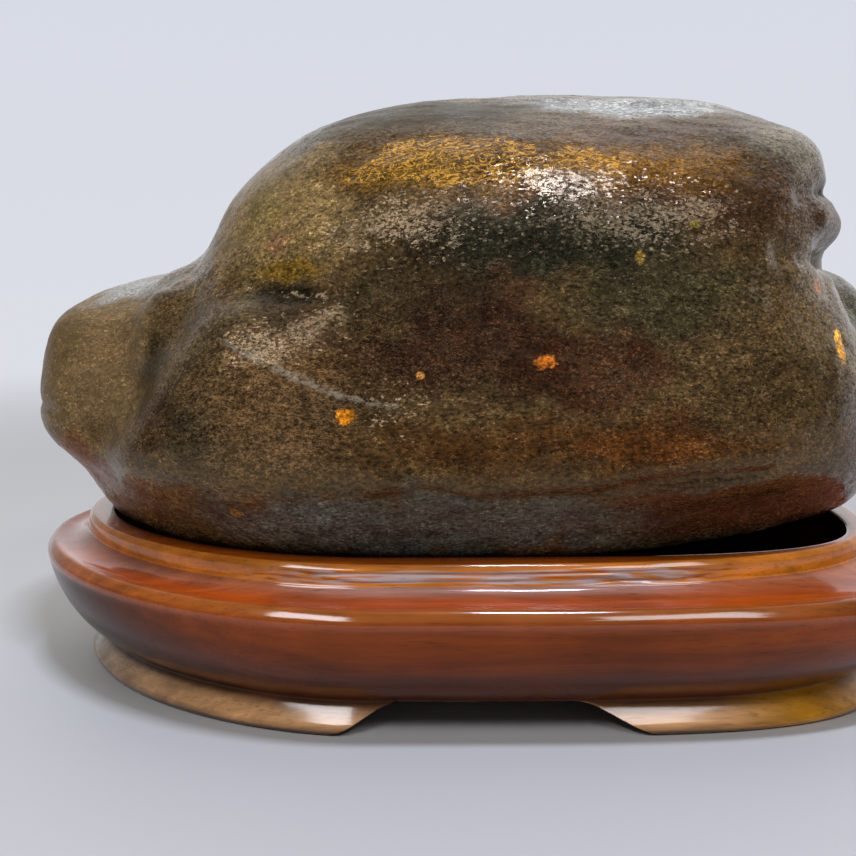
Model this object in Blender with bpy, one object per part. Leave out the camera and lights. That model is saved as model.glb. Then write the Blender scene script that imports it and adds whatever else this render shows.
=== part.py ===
"""A scholar's rock standing in its carved hardwood stand.

The rock is a river-worn boulder: a high flat-topped dome with a low lobe at its left end, and at its
right end a brow, a nose and a cleft over two lower lobes. Its foot sits in the stand's hollow seat.
The stand is carved from one block: a raised rim round the seat, a coved ledge, an undercut bowl
and two feet that wrap round its ends, parted by an arch at the front and one at the back.

+X is the rock's right end, +Y its back and +Z up. The origin is on the table, under the middle of the
stand. Sizes are in millimetres until a mesh is made.
"""

import math

import bmesh
import bpy
import numpy as np
from mathutils import Vector, noise

MM = 0.001

# --- The stand's driving dimensions --------------------------------------------------------------
STAND_LENGTH = 196.0
STAND_DEPTH = 116.6
STAND_WIDEST_X = -18.6  # where the oval is deepest: its left end tapers, its right end is full
LEFT_FULLNESS = 1.83  # exponents of the oval's two ends: 2 is an ellipse, more is squarer
EDGE_FULLNESS = 4.3  # of the right end along the widest edge, the bowl and the foot
RIM_FULLNESS = 3.3  # and along the outside of the rim
MOUTH_FULLNESS = 4.2  # and along the seat's mouth
RIM_HEIGHT = 34.0
RIM_INSET = 9.6  # insets are measured in from the stand's widest edge
TIER_HEIGHT = 29.8  # of the arris under the rim
LEDGE_HEIGHT = 28.3
SEAT_HEIGHT = 28.0
SEAT_INSET = 15.0
SEAT_FLOOR_INSET = 24.5
WAIST_HEIGHT = 5.9
WAIST_INSET = 12.5
FOOT_INSET = 8.2
FOOT_EDGE_HEIGHT = 2.2
FOOT_WIDTH = 15.0  # of the ring that stands on the table
UNDERSIDE_HEIGHT = 7.4
ARCH_X = 3.6
ARCH_TOP_HALF = 17.0
ARCH_FOOT_HALF = 35.5
ARCH_SINK = 0.6  # how far under the table the arch's flared ends run out
ARCH_STEPS = 8
OUTLINE_POINTS = 64

# --- The rock's driving dimensions ---------------------------------------------------------------
REST_GAP = 0.3  # between the rock's foot and the seat
ROCK_HEART = np.array((6.0, 0.0, 66.0))  # the whole surface is in sight of this point
ROCK_REACH = 140.0
ROCK_DETAIL = 6
ROCK_CELL = 1.5  # of the even mesh that the surface is cast over before its flatter faces are merged
ROCK_WEAR = 3
ROCK_SHARE = 0.081  # of its faces that are kept
LUMP_BLEND = 9.0  # how softly the lumps run into each other

# Each lump: its middle, its half sizes, how square its front view and its section are, and its turns
# about Y and Z in degrees.
LUMPS = {
    "belly": ((9.5, -1.0, 47.0), (80.5, 50.0, 37.0), (2.3, 2.1), (0.0, 0.0)),
    "foot": ((-6.5, 0.0, 46.0), (74.0, 51.0, 24.0), (3.0, 3.0), (0.0, 0.0)),
    "dome": ((18.5, 0.0, 77.5), (60.5, 50.5, 48.0), (2.8, 2.1), (0.0, -2.0)),
    "dome_left": ((-18.5, -1.0, 78.0), (40.0, 39.0, 41.0), (2.2, 2.1), (0.0, 0.0)),
    "front_left_shoulder": ((-37.0, -10.0, 63.0), (33.5, 37.0, 26.5), (2.3, 2.1), (0.0, 0.0)),
    "left_lobe": ((-73.5, 5.0, 50.5), (23.5, 31.0, 34.5), (2.5, 2.1), (-6.0, -10.0)),
    "lobe_crest": ((-64.5, 12.0, 69.6), (15.5, 25.0, 16.6), (2.2, 2.1), (0.0, 0.0)),
    "right_end": ((48.5, -6.0, 57.0), (37.0, 42.0, 33.0), (2.3, 2.2), (3.0, 0.0)),
    "back_right_lobe": ((82.0, 14.0, 66.5), (16.8, 27.0, 22.5), (2.1, 2.1), (0.0, 0.0)),
    "crest": ((31.0, 8.0, 112.0), (31.0, 26.0, 15.0), (2.4, 2.1), (0.0, 0.0)),
    "brow": ((53.0, -2.0, 110.0), (22.0, 26.0, 10.5), (2.6, 2.1), (6.0, 0.0)),
    "nose": ((65.0, -9.0, 94.3), (11.0, 14.0, 6.8), (2.1, 2.1), (0.0, 0.0)),
}

# Worn hollows and creases, each from one point to another with a radius and a depth. A negative
# depth is a swelling.
STROKES = {
    "cleft_front": ((68.0, -27.0, 91.0), (86.0, -4.0, 89.5), 3.2, 4.2),
    "cleft_back": ((86.0, -4.0, 89.5), (80.0, 20.0, 94.0), 3.6, 2.8),
    "bridge_of_nose": ((80.0, -20.0, 105.0), (82.0, 16.0, 104.8), 2.8, 2.4),
    "dome_hollow": ((34.0, -2.0, 131.0), (52.0, 2.0, 130.0), 9.0, 2.2),
    "under_bulge": ((-44.0, -36.0, 84.0), (-28.0, -42.0, 84.5), 3.5, 1.2),
    "left_valley": ((-58.0, -33.0, 76.0), (-72.0, -28.0, 57.0), 7.0, 2.4),
    "lobe_gully": ((80.0, -14.0, 86.0), (101.0, -6.0, 68.0), 5.0, 2.6),
    "knob": ((-64.0, -12.0, 87.0), (-62.0, -10.0, 87.0), 5.0, -2.5),
    "back_hollow": ((-10.0, 52.0, 92.0), (24.0, 52.0, 74.0), 13.0, 4.5),
    "back_gully": ((44.0, 46.0, 112.0), (58.0, 50.0, 62.0), 8.0, 3.0),
}

# Worn flats: the way each faces, and how far out it lies from the rock's heart.
FLATS = {
    "front_shoulder": ((0.05, -0.70, 0.71), 57.0),
    "front_face": ((0.04, -0.97, 0.22), 50.5),
    "right_cheek": ((0.66, -0.72, 0.20), 78.0),
    "back_slope": ((-0.12, 0.80, 0.59), 55.0),
    "top_slope": ((0.03, -0.358, 0.934), 57.0),
}
FLAT_BLEND = 6.0

# The rock's underside: how far it may reach past the seat's mouth at each height.
UNDERCUT_HEIGHTS = (28.0, 31.0, 34.0, 40.0, 46.0, 50.0, 60.0, 80.0)
UNDERCUT_REACH = (-12.0, -3.2, -0.7, 3.2, 6.4, 12.0, 30.0, 60.0)
UNDERCUT_BLEND = (7.0, 2.0)  # the lip over the undercut is round at its left end and crisp from its middle on
UNDERCUT_ENDS = (-60.0, -10.0)
LIP_WAVES = ((17.0, 1.3), (6.5, 0.5))  # lengths and heights of the waves in the lip
HEEL_SLOPE = 0.13  # the underside rises towards the right end

# The river's wear: the size of the swells in the surface, and how high they are.
SWELLS = ((34.0, 1.5), (15.0, 0.7))
SWELL_START = 37.0  # the height they begin at, clear of the stand, and the height over which they grow
SWELL_FADE = 10.0


# --- Shared helpers -----------------------------------------------------------------------------
def clear_scene():
    for thing in list(bpy.data.objects):
        bpy.data.objects.remove(thing)


def material(name, colour, roughness, metallic=0.0):
    made = bpy.data.materials.new(name)
    made.use_nodes = True
    shader = made.node_tree.nodes["Principled BSDF"]
    shader.inputs["Base Color"].default_value = (*colour, 1.0)
    shader.inputs["Roughness"].default_value = roughness
    shader.inputs["Metallic"].default_value = metallic
    return made


def new_object(name, bm, surface):
    mesh = bpy.data.meshes.new(name)
    bm.to_mesh(mesh)
    bm.free()
    made = bpy.data.objects.new(name, mesh)
    bpy.context.scene.collection.objects.link(made)
    made.data.materials.append(surface)
    return made


# --- The stand ----------------------------------------------------------------------------------
def oval(turn, inset, fullness=EDGE_FULLNESS):
    """A point of the stand's outline at a turn in radians, inset from its widest edge."""
    along, across = math.cos(turn), math.sin(turn)
    right = along > 0
    reach = STAND_LENGTH / 2 + (-STAND_WIDEST_X if right else STAND_WIDEST_X) - inset
    power = 2 / (fullness if right else LEFT_FULLNESS)
    x = STAND_WIDEST_X + math.copysign(reach * abs(along) ** power, along)
    y = math.copysign((STAND_DEPTH / 2 - inset) * abs(across) ** power, across)
    return x, y


def even_turns(count):
    """Turns whose points are evenly spaced along the stand's widest edge."""
    fine = np.linspace(0.0, 2 * math.pi, 4001)
    points = np.array([oval(turn, 0.0) for turn in fine])
    run = np.concatenate(([0.0], np.cumsum(np.hypot(*np.diff(points, axis=0).T))))
    return np.interp(np.arange(count) / count * run[-1], run, fine)


def bow(start, end, swell, steps):
    """Points after start up to end on a shallow arc that swells to the left of its way by swell."""
    (x0, z0), (x1, z1) = start, end
    length = math.hypot(x1 - x0, z1 - z0)
    side = (-(z1 - z0) / length, (x1 - x0) / length)
    points = []
    for k in range(1, steps + 1):
        share = k / steps
        off = 4 * swell * share * (1 - share)
        points.append((x0 + (x1 - x0) * share + side[0] * off, z0 + (z1 - z0) * share + side[1] * off))
    return points


def stand_profile():
    """The stand's section as (inset, height, fullness), from the seat's floor out over the rim to the underside."""
    inner_foot = FOOT_INSET + FOOT_WIDTH
    stations = (
        ((SEAT_INSET + 0.5, RIM_HEIGHT - 1.0), 1.6, 3, MOUTH_FULLNESS),  # the seat's hollow wall
        ((SEAT_INSET - 0.4, RIM_HEIGHT), -0.25, 2, MOUTH_FULLNESS),
        ((RIM_INSET + 0.9, RIM_HEIGHT), 0.0, 1, RIM_FULLNESS),
        ((RIM_INSET, RIM_HEIGHT - 0.9), -0.25, 2, RIM_FULLNESS),
        ((RIM_INSET + 0.1, TIER_HEIGHT), 0.2, 2, RIM_FULLNESS),
        ((2.1, LEDGE_HEIGHT + 0.2), 1.2, 4, EDGE_FULLNESS),  # the cove
        ((0.0, LEDGE_HEIGHT - 2.0), -0.45, 3, EDGE_FULLNESS),  # the widest edge
        ((WAIST_INSET, WAIST_HEIGHT), -2.4, 5, EDGE_FULLNESS),  # the undercut bowl
        ((FOOT_INSET, FOOT_EDGE_HEIGHT), 0.15, 2, EDGE_FULLNESS),
        ((FOOT_INSET + 0.8, 0.0), -0.6, 4, EDGE_FULLNESS),
        ((inner_foot - 1.0, 0.0), 0.0, 1, EDGE_FULLNESS),
        ((inner_foot, 1.0), 0.0, 1, EDGE_FULLNESS),
        ((inner_foot + 1.5, UNDERSIDE_HEIGHT), 0.0, 1, EDGE_FULLNESS),
    )
    points = [(SEAT_FLOOR_INSET, SEAT_HEIGHT, MOUTH_FULLNESS)]
    for end, swell, steps, fullness in stations:
        before = points[-1]
        for k, spot in enumerate(bow(before[:2], end, swell, steps), start=1):
            points.append((*spot, before[2] + (fullness - before[2]) * k / steps))
    return points


def arch_cutter():
    """A block as wide as the arch, through both long sides of the feet."""
    rise = WAIST_HEIGHT - 0.1 + ARCH_SINK
    half = []
    for k in range(ARCH_STEPS + 1):
        share = k / ARCH_STEPS
        x = ARCH_FOOT_HALF + (ARCH_TOP_HALF - ARCH_FOOT_HALF) * share
        half.append((x, rise * (1 - math.cos(math.pi * share)) / 2 - ARCH_SINK))
    outline = [(ARCH_X + x, z) for x, z in half] + [(ARCH_X - x, z) for x, z in reversed(half)]
    bm = bmesh.new()
    near = [bm.verts.new((x * MM, -STAND_DEPTH * MM, z * MM)) for x, z in outline]
    face = bm.faces.new(near)
    moved = bmesh.ops.extrude_face_region(bm, geom=[face])["geom"]
    far = [v for v in moved if isinstance(v, bmesh.types.BMVert)]
    bmesh.ops.translate(bm, verts=far, vec=(0.0, 2 * STAND_DEPTH * MM, 0.0))
    bmesh.ops.recalc_face_normals(bm, faces=bm.faces)
    cutter = new_object("arch_cutter", bm, material("cutter", (0.5, 0.5, 0.5), 0.5))
    cutter.hide_render = True
    cutter.display_type = "WIRE"
    return cutter


def build_stand(surface):
    bm = bmesh.new()
    turns = even_turns(OUTLINE_POINTS)
    rings = []
    for inset, height, fullness in stand_profile():
        spots = [oval(turn, inset, fullness) for turn in turns]
        rings.append([bm.verts.new((x * MM, y * MM, height * MM)) for x, y in spots])
    for inner, outer in zip(rings, rings[1:]):
        for k in range(OUTLINE_POINTS):
            after = (k + 1) % OUTLINE_POINTS
            bm.faces.new((inner[k], outer[k], outer[after], inner[after]))
    bm.faces.new(rings[0])
    bm.faces.new(reversed(rings[-1]))
    bmesh.ops.recalc_face_normals(bm, faces=bm.faces)
    stand = new_object("stand", bm, surface)
    cut = stand.modifiers.new("arches", "BOOLEAN")
    cut.operation = "DIFFERENCE"
    cut.solver = "EXACT"
    cut.object = arch_cutter()
    stand.data.shade_smooth()
    stand.data.set_sharp_from_angle(angle=math.radians(35))
    return stand


# --- The rock -----------------------------------------------------------------------------------
def soft_least(a, b, blend):
    near = np.maximum(blend - np.abs(a - b), 0.0) / blend
    return np.minimum(a, b) - near * near * blend / 4


def soft_most(a, b, blend):
    return -soft_least(-a, -b, blend)


def lump_distance(points, lump):
    """About how far each point is outside one lump."""
    middle, (long, deep, high), (front, section), turns = lump
    x, y, z = (points - np.array(middle)).T
    c, s = math.cos(math.radians(turns[1])), math.sin(math.radians(turns[1]))
    x, y = c * x + s * y, c * y - s * x
    c, s = math.cos(math.radians(turns[0])), math.sin(math.radians(turns[0]))
    x, z = c * x - s * z, s * x + c * z
    x, y, z = np.abs(x) / long + 1e-9, np.abs(y) / deep + 1e-9, np.abs(z) / high + 1e-9
    profile = (x**front + z**front) ** (1 / front)
    reach = (profile**section + y**section) ** (1 / section)
    share = (profile / reach) ** (section - 1) * profile ** (1 - front)
    slopes = share * x ** (front - 1) / long, share * z ** (front - 1) / high, (y / reach) ** (section - 1) / deep
    return (reach - 1) / np.sqrt(slopes[0] ** 2 + slopes[1] ** 2 + slopes[2] ** 2)


def past_seat(points):
    """How far each point lies outside the seat's mouth, seen from above."""
    x, y = points[:, 0] - STAND_WIDEST_X, points[:, 1]
    right = x > 0
    long_half = STAND_LENGTH / 2 + np.where(right, -STAND_WIDEST_X, STAND_WIDEST_X) - SEAT_INSET
    power = np.where(right, RIM_FULLNESS, LEFT_FULLNESS)
    share = (np.abs(x / long_half) ** power + np.abs(y / (STAND_DEPTH / 2 - SEAT_INSET)) ** power) ** (1 / power)
    return (share - 1) * np.hypot(x, y) / np.maximum(share, 1e-6)


def stroke_depth(points, stroke):
    """What one stroke wears away at each point."""
    start, end, radius, depth = (np.array(v) for v in stroke)
    along = end - start
    share = np.clip((points - start) @ along / (along @ along), 0.0, 1.0)
    away = np.linalg.norm(points - start - share[:, None] * along, axis=1)
    return depth * np.exp(-((away / radius) ** 2))


def rock_field(points):
    """Negative inside the rock, positive outside it."""
    field = None
    for lump in LUMPS.values():
        distance = lump_distance(points, lump)
        field = distance if field is None else soft_least(field, distance, LUMP_BLEND)
    for stroke in STROKES.values():
        field = field + stroke_depth(points, stroke)
    for facing, distance in FLATS.values():
        facing = np.array(facing) / np.linalg.norm(facing)
        field = soft_most(field, (points - ROCK_HEART) @ facing - distance, FLAT_BLEND)
    around = points[:, 0] + 0.6 * points[:, 1]
    wave = sum(height * np.sin(around / length) for length, height in LIP_WAVES)
    free = np.clip((points[:, 2] - RIM_HEIGHT - 2.0) / 8.0, 0.0, 1.0)
    reach = np.interp(points[:, 2] + wave * free, UNDERCUT_HEIGHTS, UNDERCUT_REACH)
    blend = np.interp(points[:, 0], UNDERCUT_ENDS, UNDERCUT_BLEND)
    field = soft_most(field, 0.75 * (past_seat(points) - reach), blend)
    floor = SEAT_HEIGHT + REST_GAP
    heel = floor + HEEL_SLOPE * (points[:, 0] + 8.0)
    field = soft_most(field, heel - points[:, 2], blend)
    return np.maximum(field, floor - points[:, 2])


def rock_surface(directions):
    """The point of the rock's surface along each direction from its heart."""
    steps = np.arange(ROCK_REACH, 0.0, -1.0)
    outside = np.full(len(directions), ROCK_REACH)
    inside = np.zeros(len(directions))
    found = np.zeros(len(directions), bool)
    for step in steps:
        now = rock_field(ROCK_HEART + directions * step) < 0
        hit = now & ~found
        inside[hit] = step
        outside[~now & ~found] = step
        found |= now
    for _ in range(14):
        middle = (inside + outside) / 2
        within = rock_field(ROCK_HEART + directions * middle[:, None]) < 0
        inside = np.where(within, middle, inside)
        outside = np.where(within, outside, middle)
    return ROCK_HEART + directions * inside[:, None]


def build_rock(surface):
    bm = bmesh.new()
    bmesh.ops.create_icosphere(bm, subdivisions=ROCK_DETAIL, radius=1.0)
    bm.verts.ensure_lookup_table()
    directions = np.array([v.co.normalized() for v in bm.verts])
    for vertex, way, spot in zip(bm.verts, directions, rock_surface(directions)):
        swell = sum(height * noise.noise(Vector(spot / size)) for size, height in SWELLS)
        swell *= min(max((spot[2] - SWELL_START) / SWELL_FADE, 0.0), 1.0)
        vertex.co = Vector(spot + way * swell) * MM
    rock = new_object("rock", bm, surface)
    even = rock.modifiers.new("even_faces", "REMESH")
    even.mode = "VOXEL"
    even.voxel_size = ROCK_CELL * MM
    worn = rock.modifiers.new("worn_smooth", "SMOOTH")
    worn.factor = 0.5
    worn.iterations = ROCK_WEAR
    thin = rock.modifiers.new("fewer_faces", "DECIMATE")
    thin.ratio = ROCK_SHARE
    rock.data.shade_smooth()
    return rock


def main():
    clear_scene()
    build_stand(material("lacquered hardwood", (0.13, 0.04, 0.02), 0.3))
    build_rock(material("river stone", (0.09, 0.06, 0.035), 0.35))


main()
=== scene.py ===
"""A scholar's rock in its carved hardwood stand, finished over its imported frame.

The rock is a river stone with a wet polish: iron red at its heart, black green along its flanks and
golden where limonite has stained its shoulder. The stand is carved from one block of hardwood and
lacquered. Lengths in the fields are millimetres. Meshes are in metres, with +X the rock's right end,
+Y its back and +Z up.
"""

import logging
import math
from dataclasses import dataclass, field
from enum import Enum
from typing import Any, Sequence

import bmesh
import bpy
import numpy as np
from bpy.types import Material, Mesh, Node, NodeSocket, NodeTree, Object
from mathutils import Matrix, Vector, noise

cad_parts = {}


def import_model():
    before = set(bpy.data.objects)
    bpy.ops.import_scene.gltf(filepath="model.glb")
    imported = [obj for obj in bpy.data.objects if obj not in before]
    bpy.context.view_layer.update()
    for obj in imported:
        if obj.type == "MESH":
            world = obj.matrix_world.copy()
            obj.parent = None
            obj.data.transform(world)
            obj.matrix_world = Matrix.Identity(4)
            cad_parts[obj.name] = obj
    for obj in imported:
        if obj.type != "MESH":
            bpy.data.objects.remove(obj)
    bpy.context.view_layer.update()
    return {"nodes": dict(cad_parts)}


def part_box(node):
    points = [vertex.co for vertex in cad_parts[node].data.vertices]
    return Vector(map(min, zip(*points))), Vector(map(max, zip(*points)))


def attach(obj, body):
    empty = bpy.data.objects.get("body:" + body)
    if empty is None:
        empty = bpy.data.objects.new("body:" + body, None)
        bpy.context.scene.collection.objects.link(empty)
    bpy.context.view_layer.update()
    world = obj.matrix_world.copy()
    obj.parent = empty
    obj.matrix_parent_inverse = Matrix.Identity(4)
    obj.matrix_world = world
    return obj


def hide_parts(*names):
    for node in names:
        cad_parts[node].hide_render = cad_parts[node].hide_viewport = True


MM = 0.001
WELD = 0.001 * MM  # vertices nearer to each other than this are one
NOISE_SPAN = (0.3, 0.7)  # where most of a noise texture's values lie
LOG = logging.getLogger("scholars_rock")

Point = tuple[float, float, float]
Span = tuple[float, float]
Array = np.ndarray


class Slot(Enum):
    """The record's material slots."""

    ROCK = "rock"
    STAND = "stand"


class Socket(Enum):
    """Places of the colour sockets on a Mix node."""

    FACTOR = 0
    FIRST = 6
    SECOND = 7
    RESULT = 2


# --- Shading helpers ---
def linear(code: str) -> tuple[float, float, float, float]:
    """Turn an sRGB hex colour into linear RGBA.

    Args:
        code: The colour, such as "#6b4a2c".

    Returns:
        Its linear red, green, blue and an alpha of one.
    """
    parts = [int(code[k : k + 2], 16) / 255 for k in (1, 3, 5)]
    red, green, blue = (p / 12.92 if p <= 0.04045 else ((p + 0.055) / 1.055) ** 2.4 for p in parts)
    return red, green, blue, 1.0


def add_node(tree: NodeTree, kind: str, inputs: dict | None = None, **settings: Any) -> Node:
    """Add one node with its settings, values and links.

    Args:
        tree: The node tree it joins.
        kind: The node's type, without "ShaderNode" before it.
        inputs: A value or another node's socket for each of its inputs, by name or place.
        **settings: The node's own settings.

    Returns:
        The node.
    """
    node = tree.nodes.new("ShaderNode" + kind)
    for name, value in settings.items():
        setattr(node, name, value)
    for key, value in (inputs or {}).items():
        socket = node.inputs[key.value if isinstance(key, Enum) else key]
        if isinstance(value, NodeSocket):
            tree.links.new(value, socket)
        else:
            socket.default_value = value
    return node


@dataclass(frozen=True)
class Pattern:
    """A noise texture: how far apart its swells lie, in millimetres, and its character."""

    size: float
    detail: float = 2.0
    roughness: float = 0.5
    distortion: float = 0.0


def noise_level(tree: NodeTree, place: NodeSocket, pattern: Pattern) -> NodeSocket:
    """Add a noise texture and return its level, about 0.5 in the middle."""
    inputs = {
        "Vector": place,
        "Scale": 1 / (pattern.size * MM),
        "Detail": pattern.detail,
        "Roughness": pattern.roughness,
        "Distortion": pattern.distortion,
    }
    return add_node(tree, "TexNoise", inputs).outputs["Fac"]


def remap(tree: NodeTree, value: NodeSocket, source: Span, target: Sequence, **settings: Any) -> NodeSocket:
    """Map a value from the source's range to the target's, held at both ends, and return its socket."""
    inputs = {"Value": value, "From Min": source[0], "From Max": source[1], "To Min": target[0], "To Max": target[1]}
    return add_node(tree, "MapRange", inputs, **settings).outputs["Result"]


def work_out(tree: NodeTree, operation: str, *values: Any, **settings: Any) -> NodeSocket:
    """Add a sum on plain values or sockets and return its result."""
    return add_node(tree, "Math", dict(enumerate(values)), operation=operation, **settings).outputs[0]


def combine(tree: NodeTree, operation: str, *values: Any, scale: Any = None) -> NodeSocket:
    """Add a sum on vectors and return its result: a vector, or the length."""
    inputs = dict(enumerate(values))
    if scale is not None:
        inputs["Scale"] = scale
    node = add_node(tree, "VectorMath", inputs, operation=operation)
    return node.outputs["Value" if operation == "LENGTH" else "Vector"]


def blend(tree: NodeTree, share: NodeSocket, under: Any, over: Any) -> NodeSocket:
    """Lay one colour over another and return the socket with both."""
    inputs = {Socket.FACTOR: share, Socket.FIRST: under, Socket.SECOND: over}
    return add_node(tree, "Mix", inputs, data_type="RGBA").outputs[Socket.RESULT.value]


def stretched(tree: NodeTree, place: NodeSocket, scale: Point) -> NodeSocket:
    """Scale a place along each axis, so that what is laid there is drawn out."""
    return add_node(tree, "Mapping", {"Vector": place, "Scale": scale}).outputs["Vector"]


def begin_material(name: str) -> tuple[Material, NodeTree, Node, NodeSocket]:
    """Make a material with nothing but its output.

    Args:
        name: The material's name.

    Returns:
        The material, its tree, its output node and the socket with the place on the object.
    """
    made = bpy.data.materials.new(name)
    made.use_nodes = True
    tree = made.node_tree
    tree.nodes.clear()
    return made, tree, add_node(tree, "OutputMaterial"), add_node(tree, "TexCoord").outputs["Object"]


def add_surface(tree: NodeTree, output: Node, inputs: dict) -> None:
    """Join a principled shader with these inputs to the material's output."""
    shader = add_node(tree, "BsdfPrincipled", inputs)
    tree.links.new(shader.outputs["BSDF"], output.inputs["Surface"])


# --- Mesh helpers ---
def join_scene(name: str, mesh: Mesh, *materials: Material) -> Object:
    """Put a mesh in the scene as a named piece.

    Args:
        name: The piece's name.
        mesh: Its mesh.
        *materials: Its materials, in the order of its faces' numbers.

    Returns:
        The new object, at the origin.
    """
    if mesh.materials:  # clearing an empty list would still reset the faces' numbers
        mesh.materials.clear()
    for material in materials:
        mesh.materials.append(material)
    piece = bpy.data.objects.new(name, mesh)
    bpy.context.scene.collection.objects.link(piece)
    return piece


def smooth_step(span: Span, value: Array) -> Array:
    """Rise smoothly from nought at the span's start to one at its end."""
    share = np.clip((value - span[0]) / (span[1] - span[0]), 0.0, 1.0)
    return share * share * (3 - 2 * share)


def band(spans: tuple[Span, Span], value: Array) -> Array:
    """Rise smoothly to one over the first span, and fall to nought over the second."""
    return smooth_step(spans[0], value) * (1 - smooth_step(spans[1], value))


def inside(span: Span, value: Array) -> Array:
    """Tell which values lie between the span's ends."""
    return (value > span[0]) & (value < span[1])


def noise_at(points: Array, size: float, stretch: Point = (1.0, 1.0, 1.0), seed: float = 0.0) -> Array:
    """Smooth noise at each point.

    Args:
        points: The points, in millimetres.
        size: How far apart its swells lie, in millimetres.
        stretch: How many times longer they are along each axis.
        seed: An offset that gives another pattern.

    Returns:
        A value from about -1 to 1 for each point.
    """
    spots = points / (size * np.array(stretch)) + seed
    return np.array([noise.noise(Vector(spot)) for spot in spots])


def path_distance(points: Array, path: Sequence[Point]) -> Array:
    """How far each point lies from a line of straight runs, in millimetres."""
    nearest = np.full(len(points), np.inf)
    for start, end in zip(np.array(path[:-1]), np.array(path[1:])):
        along = end - start
        share = np.clip((points - start) @ along / (along @ along), 0.0, 1.0)
        nearest = np.minimum(nearest, np.linalg.norm(points - start - share[:, None] * along, axis=1))
    return nearest


def drawn_toward(colours: Array, code: str, share: Array) -> Array:
    """Move each row of linear red, green and blue toward one tint, by its share from nought to one."""
    return colours + (np.array(linear(code)[:3]) - colours) * share[:, None]


def add_colours(mesh: Mesh, name: str, values: Array) -> None:
    """Lay a row of four values on each vertex, as a colour attribute."""
    attribute = mesh.color_attributes.new(name, "FLOAT_COLOR", "POINT")
    attribute.data.foreach_set("color", values.astype(np.float32).ravel())


@dataclass(frozen=True)
class Swell:
    """Noise worked into a surface: its height and width, how far it is drawn out, and its seed."""

    height: float
    size: float
    stretch: Point = (1.0, 1.0, 1.0)
    seed: float = 0.0

    def at(self, points: Array) -> Array:
        """Its height at each point."""
        return self.height * noise_at(points, self.size, self.stretch, self.seed)


# --- Finishes ---
@dataclass(frozen=True)
class Spot:
    """A crisp speck of limonite in the stone."""

    middle: Point
    reach: Point
    colour: str


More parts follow.
